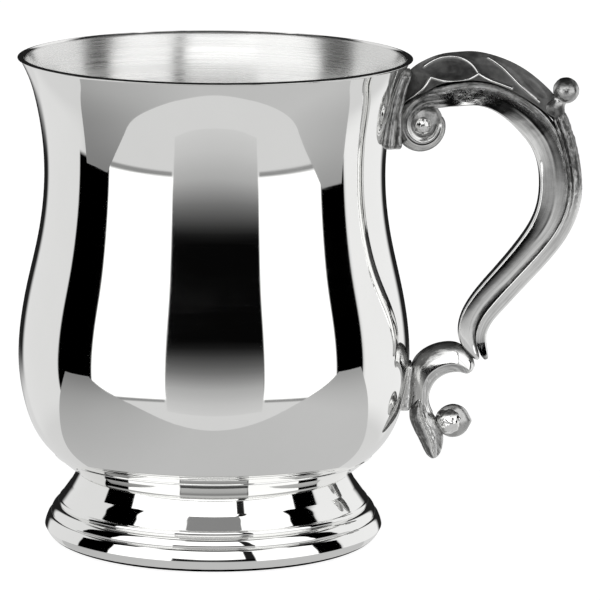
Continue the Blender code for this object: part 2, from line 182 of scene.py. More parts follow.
def roughen(mesh, amount, size, seed, mask=None):
    """Move the points along their normals by smooth noise: a hand-finished casting."""
    mesh.update()
    starts = [v.co.copy() for v in mesh.vertices]
    normals = [v.normal.copy() for v in mesh.vertices]
    shift = Vector((seed * 3.7, seed * 1.3, seed * 2.1))
    for i, vert in enumerate(mesh.vertices):
        share = 1.0 if mask is None else mask[i]
        height = noise.noise(starts[i] / size + shift)
        height += 0.5 * noise.noise(starts[i] / (0.45 * size) + shift)
        vert.co = starts[i] + normals[i] * (height * amount * share)


def add_piece(name, mesh, materials, slot, *nodes):
    piece = bpy.data.objects.new(name, mesh)
    bpy.context.scene.collection.objects.link(piece)
    for made in materials:
        mesh.materials.append(made)
    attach(piece, BODY)
    if nodes:
        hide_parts(*nodes)


def turned_mesh(name, profile, steps):
    """A closed surface turned about the bowl's axis from a profile of radius and height."""
    profile = np.asarray(profile, dtype=float)
    angles = np.arange(steps) * math.tau / steps
    around = np.stack((np.cos(angles), np.sin(angles)), axis=1)
    grid = np.empty((len(profile), steps, 3))
    grid[:, :, 0] = AXIS_X + profile[:, 0:1] * around[:, 0]
    grid[:, :, 1] = profile[:, 0:1] * around[:, 1]
    grid[:, :, 2] = TABLE_Z + profile[:, 1:2]
    return grid_mesh(name, grid, True)


# ---------------------------------------------------------------- materials

class Graph:
    """A small helper that adds and links nodes of one material or world."""

    def __init__(self, owner):
        owner.use_nodes = True
        self.tree = owner.node_tree

    def add(self, kind, settings=None, **inputs):
        node = self.tree.nodes.new("ShaderNode" + kind)
        for key, value in (settings or {}).items():
            setattr(node, key, value)
        for key, value in inputs.items():
            socket = node.inputs[int(key[1:])] if key[0] == "i" and key[1:].isdigit() else node.inputs[key]
            if isinstance(value, bpy.types.NodeSocket):
                self.tree.links.new(value, socket)
            else:
                socket.default_value = value
        return node

    def math(self, operation, first, second=0.0, clamp=False):
        settings = {"operation": operation, "use_clamp": clamp}
        return self.add("Math", settings, i0=first, i1=second).outputs[0]

    def ramp(self, value, low, high, out_low, out_high, smooth=True):
        kind = "SMOOTHSTEP" if smooth else "LINEAR"
        node = self.add("MapRange", {"interpolation_type": kind}, i0=value, i1=low, i2=high,
                        i3=out_low, i4=out_high)
        return node.outputs[0]

    def noise(self, vector, scale, detail, roughness):
        node = self.add("TexNoise", None, Vector=vector, Scale=scale, Detail=detail, Roughness=roughness)
        return node.outputs[0]

    def grey_ramp(self, value, stops):
        """A colour ramp of grey stops, each with its place and brightness."""
        node = self.add("ValToRGB", None, Fac=value)
        ramp = node.color_ramp
        for index, (place, level) in enumerate(stops):
            stop = ramp.elements[index] if index < 2 else ramp.elements.new(place)
            stop.position = place
            stop.color = (level, level, level, 1.0)
        return node.outputs[0]


def metal(name, colour, roughness, anisotropy=0.0):
    made = bpy.data.materials.new(name)
    graph = Graph(made)
    shader = graph.tree.nodes["Principled BSDF"]
    shader.inputs["Base Color"].default_value = (*colour, 1.0)
    shader.inputs["Metallic"].default_value = 1.0
    shader.inputs["Roughness"].default_value = roughness
    shader.inputs["Anisotropic"].default_value = anisotropy
    return made, graph, shader


def grey_mix(graph, share, dark, light):
    node = graph.add("Mix", {"data_type": "RGBA"}, i0=share)
    node.inputs[6].default_value = (dark, dark, dark * 0.985, 1.0)
    node.inputs[7].default_value = (light, light, light * 0.99, 1.0)
    return node.outputs[2]


def bump(graph, height, strength, distance):
    node = graph.add("Bump", None, Height=height, Strength=strength, Distance=distance)
    return node.outputs[0]


def turned_lines(graph, rings_per_metre):
    """Noise that changes along the axis and the radius, and hardly around it."""
    place = graph.add("TexCoord").outputs["Object"]
    parts = graph.add("SeparateXYZ", None, Vector=place)
    x = graph.math("SUBTRACT", parts.outputs[0], AXIS_X)
    radius = graph.math("SQRT", graph.math("ADD", graph.math("MULTIPLY", x, x),
                        graph.math("MULTIPLY", parts.outputs[1], parts.outputs[1])))
    angle = graph.math("ARCTAN2", parts.outputs[1], x)
    vector = graph.add("CombineXYZ", None, X=graph.math("MULTIPLY", radius, rings_per_metre),
                       Y=graph.math("MULTIPLY", angle, 0.8),
                       Z=graph.math("MULTIPLY", parts.outputs[2], rings_per_metre)).outputs[0]
    return place, vector


def make_polished():
    """Spun pewter, polished to a mirror, with faint turned lines and a thin haze."""
    made, graph, shader = metal("polished_pewter", (0.88, 0.88, 0.87), roughness=0.04)
    place, lines = turned_lines(graph, rings_per_metre=900.0)
    haze = graph.noise(place, scale=45.0, detail=4.0, roughness=0.6)
    graph.tree.links.new(grey_mix(graph, haze, dark=0.85, light=0.91), shader.inputs["Base Color"])
    streaks = graph.noise(lines, scale=1.0, detail=3.0, roughness=0.6)
    level = graph.math("ADD", graph.ramp(haze, 0.35, 0.7, 0.02, 0.045),
                       graph.ramp(streaks, 0.45, 0.75, 0.0, 0.02))
    graph.tree.links.new(level, shader.inputs["Roughness"])
    graph.tree.links.new(bump(graph, streaks, strength=0.05, distance=0.00002), shader.inputs["Normal"])
    return made


def make_satin():
    """The bowl's inside: fine turned lines from the lathe, left satin."""
    made, graph, shader = metal("satin_pewter", (0.84, 0.84, 0.83), roughness=0.24, anisotropy=0.75)
    shader.inputs["Metallic"].default_value = 0.82
    place, lines = turned_lines(graph, rings_per_metre=2600.0)
    streaks = graph.noise(lines, scale=1.0, detail=3.0, roughness=0.7)
    broad = graph.noise(lines, scale=0.12, detail=2.0, roughness=0.5)
    graph.tree.links.new(grey_mix(graph, streaks, dark=0.77, light=0.87), shader.inputs["Base Color"])
    level = graph.math("ADD", graph.ramp(streaks, 0.3, 0.7, 0.23, 0.31),
                       graph.ramp(broad, 0.3, 0.7, -0.03, 0.03))
    graph.tree.links.new(level, shader.inputs["Roughness"])
    graph.tree.links.new(bump(graph, streaks, strength=0.25, distance=0.00003), shader.inputs["Normal"])
    tangent = graph.add("Tangent", {"direction_type": "RADIAL", "axis": "Z"})
    graph.tree.links.new(tangent.outputs[0], shader.inputs["Tangent"])
    shader.inputs["Anisotropic Rotation"].default_value = 0.25
    return made


def make_cast():
    """Cast pewter: dull and clouded where the casting skin is left, bright where it is rubbed, and
    darkened where a part paints shade into the same attribute.
    """
    made, graph, shader = metal("cast_pewter", (0.6, 0.6, 0.6), roughness=0.3)
    place = graph.add("TexCoord").outputs["Object"]
    rubbed_and_shade = graph.add("Attribute", {"attribute_name": "rubbed_and_shade"}).outputs["Fac"]
    along = graph.add("Attribute", {"attribute_name": "along"}).outputs["Fac"]
    across = graph.add("Attribute", {"attribute_name": "across"}).outputs["Fac"]
    curvature = graph.add("NewGeometry").outputs["Pointiness"]
    run = graph.add("CombineXYZ", None, X=graph.math("MULTIPLY", along, 0.05), Y=across)
    streak = graph.noise(run.outputs[0], scale=1500.0, detail=4.0, roughness=0.6)
    cloud = graph.noise(place, scale=420.0, detail=5.0, roughness=0.65)
    stretched = graph.add("CombineXYZ", None, X=graph.math("MULTIPLY", along, 0.30), Y=across)
    speck = graph.noise(stretched.outputs[0], scale=1100.0, detail=5.0, roughness=0.7)
    grain = graph.noise(place, scale=2400.0, detail=3.0, roughness=0.6)
    edges = graph.ramp(curvature, 0.42, 0.56, -0.35, 0.20)
    dull = graph.ramp(rubbed_and_shade, 0.2, 0.8, 0.34, 0.06)
    uneven = graph.math("ADD", graph.ramp(cloud, 0.36, 0.64, -0.35, 0.35),
                        graph.ramp(speck, 0.38, 0.58, -0.75, 0.40))
    patches = graph.math("ADD", graph.math("MULTIPLY", uneven, dull),
                         graph.ramp(streak, 0.34, 0.66, -0.16, 0.16))
    share = graph.math("ADD", graph.math("ADD", rubbed_and_shade, edges), patches, clamp=True)
    graph.tree.links.new(grey_mix(graph, share, dark=0.12, light=0.90), shader.inputs["Base Color"])
    level = graph.math("ADD", graph.ramp(rubbed_and_shade, 0.1, 1.0, 0.36, 0.05),
                       graph.ramp(cloud, 0.4, 0.7, 0.0, 0.05))
    graph.tree.links.new(level, shader.inputs["Roughness"])
    height = graph.math("ADD", graph.math("MULTIPLY", streak, 0.6), graph.math("MULTIPLY", grain, 0.4))
    calm = graph.math("MULTIPLY", height, graph.ramp(rubbed_and_shade, 0.2, 0.9, 1.0, 0.15))
    graph.tree.links.new(bump(graph, calm, strength=0.30, distance=0.00025), shader.inputs["Normal"])
    return made


def make_leaf_metal():
    """Toned ground between the leaf's veins; the veins are rubbed bright."""
    made, graph, shader = metal("toned_leaf", (0.4, 0.4, 0.4), roughness=0.2)
    place = graph.add("TexCoord").outputs["Object"]
    rubbed_and_shade = graph.add("Attribute", {"attribute_name": "rubbed_and_shade"}).outputs["Fac"]
    cloud = graph.noise(place, scale=500.0, detail=4.0, roughness=0.6)
    ground = graph.ramp(cloud, 0.3, 0.7, 0.0, 0.08)
    share = graph.math("ADD", rubbed_and_shade, ground, clamp=True)
    graph.tree.links.new(grey_mix(graph, share, dark=0.11, light=0.95), shader.inputs["Base Color"])
    level = graph.math("ADD", graph.ramp(rubbed_and_shade, 0.0, 0.6, 0.42, 0.12),
                       graph.ramp(cloud, 0.3, 0.7, -0.04, 0.06))
    graph.tree.links.new(level, shader.inputs["Roughness"])
    grain = graph.noise(place, scale=1800.0, detail=3.0, roughness=0.6)
    graph.tree.links.new(bump(graph, grain, strength=0.12, distance=0.0001), shader.inputs["Normal"])
    return made


POLISHED = make_polished()
SATIN = make_satin()
CAST = make_cast()
LEAF = make_leaf_metal()


# ---------------------------------------------------------------- bowl, neck and foot

# The bowl's outer side, as radius and height in mm, from its bottom's edge to its rim
BOWL_SIDE = (
    (33.3, 17.1), (34.1, 17.7), (35.2, 18.55), (37.1, 20.0), (38.9, 21.5), (41.6, 24.2),
    (44.1, 28.0), (46.67, 35.69), (47.76, 44.02), (47.42, 52.35), (45.64, 63.06),
    (43.21, 73.77), (41.58, 85.66), (41.72, 97.56), (43.18, 107.07), (45.21, 114.22),
    (47.5, 118.98),
)
BOWL_BOTTOM = ((0.0, 17.0), (20.0, 17.0), (31.0, 17.02))
# The lip's top falls outwards: the rounding of its two edges, how far it falls, and the way that
# it faces in degrees over the horizontal
LIP_ROUND = 0.10 * MM
LIP_FALL = 0.29 * MM
LIP_FACING = 74.0
TURN_STEPS = 256
SIDE_STEPS = 10
SHARP_ANGLE = math.radians(35.0)


def corner_arc(centre, radius, start, end, count):
    angles = np.radians(np.linspace(start, end, count))
    return [(centre[0] + radius * math.cos(a), centre[1] + radius * math.sin(a)) for a in angles]


def make_bowl():
    outside = np.vstack((BOWL_BOTTOM, natural_spline(BOWL_SIDE, SIDE_STEPS))) * MM
    inside = outside - WALL * normals_2d(outside)
    inside[0, 0] = 0.0
    outside[0, 0] = 0.0
    top = RIM_HEIGHT
    outer_centre = (RIM_RADIUS - LIP_ROUND, top - LIP_FALL - LIP_ROUND)
    outer_lip = corner_arc(outer_centre, LIP_ROUND, LIP_FACING, 0.0, 6)
    inner_centre = (RIM_RADIUS - WALL + LIP_ROUND, top - LIP_ROUND)
    inner_lip = corner_arc(inner_centre, LIP_ROUND, 180.0, LIP_FACING, 6)
    inside = inside[inside[:, 1] < inner_centre[1] - 0.5 * LIP_ROUND]
    outside = outside[outside[:, 1] < outer_centre[1] - 0.5 * LIP_ROUND]
    profile = np.vstack((inside, inner_lip, outer_lip, outside[::-1]))
    mesh = turned_mesh("bowl_shell", profile, TURN_STEPS)
    satin_faces = (len(inside) - 1) * TURN_STEPS
    for face in mesh.polygons[:satin_faces]:
        face.material_index = 1
    add_piece("bowl_shell", mesh, (POLISHED, SATIN), "polished_pewter", "bowl")


# The collar under the bowl, from its upper edge down to the groove above the foot, with the
# points behind it that close the ring
NECK_TOP = ((38.6, 21.6), (38.75, 21.45))
NECK_SIDE = (
    (38.8, 21.3), (37.2, 19.92), (35.32, 18.43), (34.2, 17.57), (33.4, 17.0), (32.8, 16.87),
    (33.25, 16.6),
)
NECK_BACK = ((32.2, 16.6), (32.2, 17.2))
NECK_JOINT = (39.05, 21.62)
NECK_JOINT_RADIUS = 0.22


def make_neck():
    ring = np.vstack((NECK_TOP, natural_spline(NECK_SIDE, 6), NECK_BACK, NECK_TOP[:1]))
    mesh = turned_mesh("neck_ring", ring * MM, TURN_STEPS)
    mesh.set_sharp_from_angle(angle=SHARP_ANGLE)
    add_piece("neck_ring", mesh, (POLISHED,), "polished_pewter", "neck_collar")
    joint = corner_arc(NECK_JOINT, NECK_JOINT_RADIUS, 360.0, 0.0, 16)
    mesh = turned_mesh("neck_joint", np.array(joint) * MM, TURN_STEPS)
    add_piece("neck_joint", mesh, (POLISHED,), "solder", "neck_solder_fillet")


# The foot's outer side from its top edge down to the table, in smooth stretches whose
# meeting points stay sharp
FOOT_STRETCHES = (
    ((33.3, 16.7), (34.17, 15.08), (35.02, 13.52)),
    ((35.02, 13.52), (35.5, 12.9), (36.25, 11.85), (37.0, 10.8), (37.6, 9.95)),
    ((37.65, 9.9), (37.95, 9.65), (38.1, 9.25), (38.1, 8.95), (38.0, 8.75)),
    ((38.0, 8.7), (38.75, 8.4), (39.3, 7.9), (39.65, 7.3), (39.85, 6.7), (39.85, 6.3)),
    ((39.86, 6.25), (40.2, 6.1), (40.55, 5.75)),
    ((40.6, 5.7), (40.95, 4.9), (41.2, 4.2), (41.37, 3.6), (41.42, 3.3), (41.25, 2.9)),
    ((41.25, 2.9), (40.9, 2.2), (40.2, 1.3), (39.0, 0.5), (37.5, 0.05)),
    ((37.5, 0.05), (36.6, 0.0), (34.5, 0.0)),
)
FOOT_INSIDE = (
    (34.4, 0.3), (35.0, 2.0), (36.0, 8.6), (35.6, 10.0), (33.0, 13.8), (30.2, 15.4), (30.2, 16.7),
)


def make_foot():
    outside = np.vstack([natural_spline(stretch, 6) for stretch in FOOT_STRETCHES])
    profile = np.vstack((outside, FOOT_INSIDE, outside[:1]))
    mesh = turned_mesh("foot_shell", profile * MM, TURN_STEPS)
    mesh.set_sharp_from_angle(angle=SHARP_ANGLE)
    add_piece("foot_shell", mesh, (POLISHED,), "polished_pewter", "foot")


# ---------------------------------------------------------------- handle

def place_in_plane(grid):
    """Turn a grid of x, y, z in mm from the bowl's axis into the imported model's metres."""
    grid = grid * MM
    grid[..., 0] += AXIS_X
    grid[..., 2] += TABLE_Z
    return grid


def ribbon_mesh(name, outer, inner, section, columns_per_side=44, end_reach=2.0):
    """A strip between two outlines in the handle's plane, the same on both sides of it.

    section(across, share) gives the half thickness in mm for places across the strip, from 0
    at the first outline to 1 at the second one, at a share of the way along it.
    """
    outer, inner = np.asarray(outer), np.asarray(inner)
    rows = len(outer)
    middle = (outer + inner) / 2.0
    along = run_lengths(middle)
    across = 0.5 - 0.5 * np.cos(np.linspace(0.0, math.pi, columns_per_side))
    grid = np.empty((rows, 2 * columns_per_side - 2, 3))
    for i in range(rows):
        left = min(along[i], along[-1] - along[i])
        round_end = math.sqrt(max(1.0 - (1.0 - min(left / end_reach, 1.0)) ** 2, 0.0004))
        height = section(across, i / (rows - 1)) * round_end
        height[0] = height[-1] = 0.0
        shrink = 0.25 + 0.75 * round_end
        near = middle[i] + (outer[i] - middle[i]) * shrink
        far = middle[i] + (inner[i] - middle[i]) * shrink
        line = near[None, :] * (1.0 - across[:, None]) + far[None, :] * across[:, None]
        front = np.column_stack((line[:, 0], -height, line[:, 1]))
        back = np.column_stack((line[:, 0], height, line[:, 1]))[-2:0:-1]
        grid[i] = np.vstack((front, back))
    mesh = grid_mesh(name, place_in_plane(grid), True, True, True)
    width = np.linalg.norm(outer - inner, axis=1)
    share = np.concatenate((across, across[-2:0:-1]))
    paint(mesh, "along", np.concatenate((np.repeat(along, len(share)), (0.0, along[-1]))) * MM)
    paint(mesh, "across", np.concatenate((np.outer(width, share).ravel(), (0.0, 0.0))) * MM)
    paint(mesh, "share", np.concatenate((np.tile(share, rows), (0.5, 0.5))))
    return mesh


def shares(mesh):
    """How far across its strip each point of a ribbon mesh is, from 0 to 1."""
    return np.array([item.value for item in mesh.attributes["share"].data])


def run_lengths(curve):
    steps = np.linalg.norm(np.diff(curve[:, :2], axis=0), axis=1)
    return np.concatenate(([0.0], np.cumsum(steps)))


def quarter_round(share):
    """Height of a quarter ellipse, 0 at its edge and 1 at its top."""
    return np.sqrt(np.clip(1.0 - (1.0 - np.clip(share, 0.0, 1.0)) ** 2, 0.0, 1.0))


def heights(mesh):
    """The height of every point of a mesh over the table, in mm."""
    return np.array([(vert.co.z - TABLE_Z) / MM for vert in mesh.vertices])


def reaches(mesh):
    """How far to the right of the bowl's axis every point of a mesh is, in mm."""
    return np.array([(vert.co.x - AXIS_X) / MM for vert in mesh.vertices])


def paint(mesh, name, values):
    """Store a number for each point, or one for all, which a material reads as an attribute."""
    layer = mesh.attributes.new(name, "FLOAT", "POINT")
    layer.data.foreach_set("value", np.full(len(mesh.vertices), values, dtype=np.float32))


# The main bar, from the volute's inner tip round its eye and down to the lower tip:
# x, z, radius in the plane, half width, and its section: 0 is round, 1 has a crowned face and
# 2 a flat face that is turned downwards
MAIN_BAR = (
    (54.2, 104.6, 1.2, 3.2, 0.0), (54.3, 101.8, 1.6, 3.9, 0.0), (52.4, 99.0, 2.1, 4.2, 0.0),
    (49.2, 98.4, 2.5, 4.4, 0.0), (46.6, 100.4, 2.7, 4.5, 0.0), (45.9, 103.7, 2.8, 4.5, 0.0),
    (47.4, 106.8, 2.9, 4.3, 0.0), (50.4, 108.9, 3.0, 4.2, 0.3), (54.0, 109.7, 2.9, 4.5, 1.4),
    (58.0, 110.3, 3.1, 4.8, 2.0), (64.4, 110.5, 3.2, 4.8, 2.0), (70.5, 108.3, 3.5, 4.6, 1.8),
    (76.0, 104.2, 3.9, 4.2, 1.3), (80.6, 98.1, 3.9, 4.0, 0.9), (82.6, 89.1, 3.8, 4.0, 1.0),
    (81.2, 79.9, 3.6, 3.8, 1.0), (75.8, 71.8, 2.9, 3.5, 1.0), (69.4, 64.4, 2.6, 3.2, 1.0),
    (64.4, 58.6, 2.3, 2.9, 1.0), (61.8, 52.6, 2.2, 2.7, 1.0), (62.1, 49.2, 2.0, 2.4, 0.8),
    (63.4, 46.4, 1.3, 2.0, 0.4), (64.7, 44.3, 0.7, 1.6, 0.0),
)
# The crowned face is an arc that leans this far at the loop's inside and at the spine; the
# turned face falls by this slope towards the loop's inside
BAR_LEFT, BAR_RIGHT = math.radians(17.0), math.radians(21.0)
BAR_SLOPE = 0.21
BAR_ROWS = 380
# The share of the bar's length that is the ribbed volute
VOLUTE_SHARE = 0.20


def make_bar():
    path = even(natural_spline(MAIN_BAR, 12), BAR_ROWS)
    side = normals_2d(path)
    radius = path[:, 2:3]

    def section(across, share):
        row = int(round(share * (BAR_ROWS - 1)))
        width, half, level = 2.0 * path[row, 2], path[row, 3], path[row, 1]
        shape = min(max(path[row, 4], 0.0), 2.0)
        round_bar = half * np.sqrt(np.clip(1.0 - (2.0 * across - 1.0) ** 2, 0.0, 1.0))
        bend = width / (math.sin(BAR_LEFT) + math.sin(BAR_RIGHT))
        place = width * across - bend * math.sin(BAR_LEFT)
        crown = np.sqrt(bend * bend - place * place) - bend
        edges = quarter_round(12.0 * across) * quarter_round(14.0 * (1.0 - across))
        crease = 0.10 * np.exp(-((across - 0.5) / 0.035) ** 2) * smooth_step(72.0, 79.0, level)
        crowned = (half + crown) * edges + crease
        turned = (half - BAR_SLOPE * width * (1.0 - across)) * edges
        height = round_bar + (crowned - round_bar) * min(shape, 1.0)
        height = height + (turned - crowned) * max(shape - 1.0, 0.0)
        ridges = 0.07 * np.cos(across * 5.0 * math.tau) * smooth_step(0.1, 0.3, across)
        fade = 1.0 - smooth_step(VOLUTE_SHARE, 1.3 * VOLUTE_SHARE, share)
        return height + ridges * fade * quarter_round(across)

    mesh = ribbon_mesh("handle_bar", path[:, :2] - side * radius, path[:, :2] + side * radius, section,
                       columns_per_side=48)
    level = heights(mesh)
    roughen(mesh, amount=0.00003, size=0.0030, seed=1.0, mask=0.3 + 0.7 * smooth_step(92.0, 104.0, level))
    # Painted shade mixed with the rubbed wear: below, the bar is dark only at the loop's inside; above, it
    # is duller, and dark at the volute
    across = shares(mesh)
    low = 1.25 * smooth_step(0.02, 0.32, across) - 0.25
    x = reaches(mesh)
    high = (0.32 + 0.50 * smooth_step(0.15, 0.50, across)) * (0.25 + 0.75 * smooth_step(51.5, 57.0, x))
    paint(mesh, "rubbed_and_shade", low + (high - low) * smooth_step(92.0, 108.0, level))
    add_piece("handle_bar", mesh, (CAST,), "cast_pewter", "handle_main_scroll")


# The spine strip along the bar's back: x, z of its middle line and its scale
SPINE_LINE = (
    (83.2, 106.0, 1.0), (85.3, 100.4, 1.05), (87.5, 91.5, 1.0), (87.8, 86.0, 1.0),
    (86.5, 79.8, 1.0), (82.6, 72.8, 1.0), (78.3, 67.6, 0.98), (73.2, 61.9, 0.95),
    (69.1, 57.2, 0.9), (66.4, 53.4, 0.8), (65.5, 49.8, 0.72), (66.1, 46.8, 0.55),
    (67.0, 44.5, 0.28),
)
SPINE_HALF = 1.5
SPINE_ROWS = 260


def make_spine():
    path = even(natural_spline(SPINE_LINE, 12), SPINE_ROWS)
    side = normals_2d(path)
    reach = (SPINE_HALF * path[:, 2])[:, None]

    def section(across, share):
        full = np.interp(share, (0.0, 0.35, 0.6, 0.8, 1.0), (3.8, 4.1, 4.0, 3.4, 2.2))
        rounded = full * quarter_round(across) ** 0.9
        slanted = full * (0.25 * quarter_round(5.0 * across) + 0.75 * across)
        height = rounded + (slanted - rounded) * smooth_step(0.22, 0.45, share)
        bead = np.clip(1.0 - ((across - 0.90) / 0.10) ** 2, 0.0, 1.0) ** 0.5
        groove = np.exp(-((across - 0.74) / 0.07) ** 2)
        return height + (0.10 * bead - 0.55 * groove) * (1.0 - smooth_step(0.30, 0.50, share))

    mesh = ribbon_mesh("handle_spine_strip", path[:, :2] - side * reach,
                       path[:, :2] + side * (reach + 0.45), section)
    level = heights(mesh)
    high = smooth_step(80.0, 92.0, level)
    roughen(mesh, amount=0.00016, size=0.0011, seed=2.0, mask=0.06 + 0.94 * high)
    paint(mesh, "rubbed_and_shade", (0.92 - 0.80 * high) * smooth_step(44.6, 46.2, level))
    add_piece("handle_spine_strip", mesh, (CAST,), "cast_pewter", "handle_spine")


EYE_X, EYE_Z, EYE_RADIUS, EYE_FACE = 50.1, 102.7, 2.45, 4.9
# The web behind the eyes, which is one with the bar in the CAD source
WEB_CENTRE = (49.9, 0.0, 103.0)
WEB_RADIUS = 5.3


def ball_mesh(name, centre, radius, squash_y, seam=0.0, rings=64, around=96):
    """A ball in the handle's plane, with a casting seam that stands proud on its right."""
    grid = np.empty((rings + 1, around, 3))
    angles = np.arange(around) * math.tau / around
    turned = (angles + math.pi) % math.tau - math.pi
    for i in range(rings + 1):
        lift = math.pi * i / rings
        proud = seam * np.exp(-(turned / 0.22) ** 2) * math.exp(-((lift - math.pi / 2.0) / 0.5) ** 2)
        reach = radius * math.sin(lift) + proud
        grid[i, :, 0] = centre[0] + reach * np.cos(angles)
        grid[i, :, 1] = centre[1] + radius * squash_y * math.cos(lift)
        grid[i, :, 2] = centre[2] + reach * np.sin(angles)
    return grid_mesh(name, place_in_plane(grid), True)


def make_eyes():
    for name, node, facing in (("volute_eye_front", "volute_boss_front", -1.0),
                               ("volute_eye_rear", "volute_boss_rear", 1.0)):
        centre = (EYE_X, facing * (EYE_FACE - EYE_RADIUS), EYE_Z)
        mesh = ball_mesh(name, centre, EYE_RADIUS, squash_y=1.0)
        roughen(mesh, amount=0.00008, size=0.0011, seed=4.0)
        paint(mesh, "rubbed_and_shade", 0.75)
        add_piece(name, mesh, (CAST,), "cast_pewter", node)
    mesh = ball_mesh("volute_web", WEB_CENTRE, WEB_RADIUS, squash_y=0.74)
    roughen(mesh, amount=0.00006, size=0.0012, seed=4.0)
    paint(mesh, "rubbed_and_shade", 0.25)
    add_piece("volute_web", mesh, (CAST,), "cast_pewter")


# The leaf cap's stations: base x and z, ridge x and z, half width
LEAF_STATIONS = (
    (44.6, 107.2, 46.9, 115.6, 3.9), (47.3, 109.6, 49.0, 117.3, 4.7), (50.0, 110.9, 51.9, 118.8, 5.6),
    (53.6, 112.9, 55.4, 119.9, 6.0), (58.0, 113.9, 58.8, 120.3, 6.0),
    (62.4, 114.1, 62.9, 120.4, 5.8), (66.8, 113.4, 68.0, 119.3, 5.5),
    (71.6, 111.4, 73.6, 116.9, 5.0), (76.4, 108.6, 78.4, 113.5, 4.2),
    (79.6, 106.2, 81.4, 110.7, 3.4), (82.4, 103.4, 84.2, 107.6, 2.6),
)

# The leaf's hollows as tilted ovals in the handle's plane: centre x and z, half length, half
# height, tilt in degrees and depth; and its veins, which border them
LEAF_HOLLOWS = (
    (56.3, 116.9, 6.9, 2.45, 2.0, 0.26),
    (68.4, 115.2, 6.6, 2.6, -28.0, 0.28),
    (77.2, 112.0, 4.2, 1.1, -43.0, 0.16),
    (48.0, 111.9, 4.0, 2.6, 52.0, 0.30),
)
LEAF_VEINS = (
    ((50.4, 116.8), (53.0, 118.4), (56.5, 119.3), (59.7, 118.9), (62.4, 117.2), (63.5, 115.7)),
    ((51.9, 114.6), (54.4, 114.1), (58.0, 114.0), (61.5, 114.7), (63.5, 115.7)),
    ((63.5, 115.7), (65.6, 114.5), (68.5, 113.3), (71.6, 112.1)),
    ((66.0, 119.0), (69.5, 116.6), (72.6, 113.6), (75.6, 110.9), (78.4, 108.6)),
    ((45.8, 108.2), (48.0, 110.2), (50.2, 112.2), (51.9, 114.6)),
)
VEIN_WIDTH = 0.22
VEIN_HEIGHT = 0.28


def distance_to_line(x, z, line):
    """Distance in mm from points to a curve, which is given as closely spaced points."""
    best = np.full(x.shape, np.inf)
    for (ax, az), (bx, bz) in zip(line[:-1], line[1:]):
        dx, dz = bx - ax, bz - az
        share = np.clip(((x - ax) * dx + (z - az) * dz) / (dx * dx + dz * dz), 0.0, 1.0)
        best = np.minimum(best, np.hypot(x - ax - share * dx, z - az - share * dz))
    return best


def make_leaf():
    rows, half_columns, floor_columns = 340, 56, 14
    stations = even(natural_spline(LEAF_STATIONS, 10), rows)
    rise = np.linspace(0.0, 1.0, half_columns)[None, :]
    base_x, base_z, ridge_x, ridge_z, width = (stations[:, i:i + 1] for i in range(5))
    x = base_x + (ridge_x - base_x) * rise
    z = base_z + (ridge_z - base_z) * rise
    y = width * (1.0 - rise)
    hollow = np.zeros_like(x)
    for centre_x, centre_z, long, tall, tilt, depth in LEAF_HOLLOWS:
        turn = math.radians(tilt)
        u = ((x - centre_x) * math.cos(turn) + (z - centre_z) * math.sin(turn)) / long
        v = ((z - centre_z) * math.cos(turn) - (x - centre_x) * math.sin(turn)) / tall
        hollow = np.maximum(hollow, depth * np.clip(1.4 - 1.4 * (u * u + v * v), 0.0, 1.0))
    vein = np.zeros_like(x)
    for line in LEAF_VEINS:
        gap = distance_to_line(x, z, natural_spline(line, 6)[:, :2])
        vein = np.maximum(vein, np.exp(-(gap / VEIN_WIDTH) ** 2))
    y = np.maximum(y - hollow + VEIN_HEIGHT * vein, 0.02 * (1.0 - rise))
    near = np.stack((x, -y, z), axis=2)
    far = np.stack((x, y, z), axis=2)[:, -2::-1]
    spread = np.linspace(1.0, -1.0, floor_columns + 2)[1:-1][None, :]
    floor = np.stack((np.repeat(base_x, floor_columns, axis=1), width * spread,
                      np.repeat(base_z, floor_columns, axis=1)), axis=2)
    grid = np.concatenate((near, far, floor), axis=1)
    mesh = grid_mesh("leaf_cap", place_in_plane(grid), True, True, True)
    rubbed_and_shade = np.concatenate((vein, vein[:, -2::-1], np.zeros((rows, floor_columns))), axis=1)
    paint(mesh, "rubbed_and_shade", np.concatenate((rubbed_and_shade.ravel(), [0.0, 0.0])))
    add_piece("leaf_cap", mesh, (LEAF,), "dark_leaf", "handle_leaf_cap")


# The thumb ball, how far it leans away from the bowl, and its neck's outline down its own axis
BALL_X, BALL_Z, BALL_RADIUS = 85.0, 111.0, 3.15
BALL_LEAN = math.radians(33.0)
BALL_NECK = ((1.75, -3.05), (2.0, -3.6), (2.6, -4.4), (3.2, -5.4), (3.4, -6.8), (0.0, -7.4))


def make_thumb_ball():
    around = 72
    start = math.pi - math.asin(BALL_NECK[0][0] / BALL_RADIUS)
    profile = [(BALL_RADIUS * math.sin(a), BALL_RADIUS * math.cos(a)) for a in np.linspace(0.0, start, 56)]
    profile += [tuple(p) for p in natural_spline(BALL_NECK[:-1], 5)[1:]] + [BALL_NECK[-1]]
    angles = np.arange(around) * math.tau / around
    grid = np.empty((len(profile), around, 3))
    for i, (radius, height) in enumerate(profile):
        reach = radius * np.cos(angles)
        x = BALL_X + reach * math.cos(BALL_LEAN) + height * math.sin(BALL_LEAN)
        z = BALL_Z - reach * math.sin(BALL_LEAN) + height * math.cos(BALL_LEAN)
        grid[i] = np.stack((x, radius * np.sin(angles), z), axis=1)
    mesh = grid_mesh("thumb_ball_and_neck", place_in_plane(grid), True)
    level = heights(mesh)
    roughen(mesh, amount=0.00007, size=0.0012, seed=9.0)
    # Painted shade: dark on the neck and over the ball's top, half bright around the ball's middle
    upper = smooth_step(111.6, 113.0, level)
    paint(mesh, "rubbed_and_shade", 0.50 * smooth_step(106.0, 108.5, level) - 0.50 * upper)
    add_piece("thumb_ball_and_neck", mesh, (CAST,), "cast_pewter", "thumb_ball")


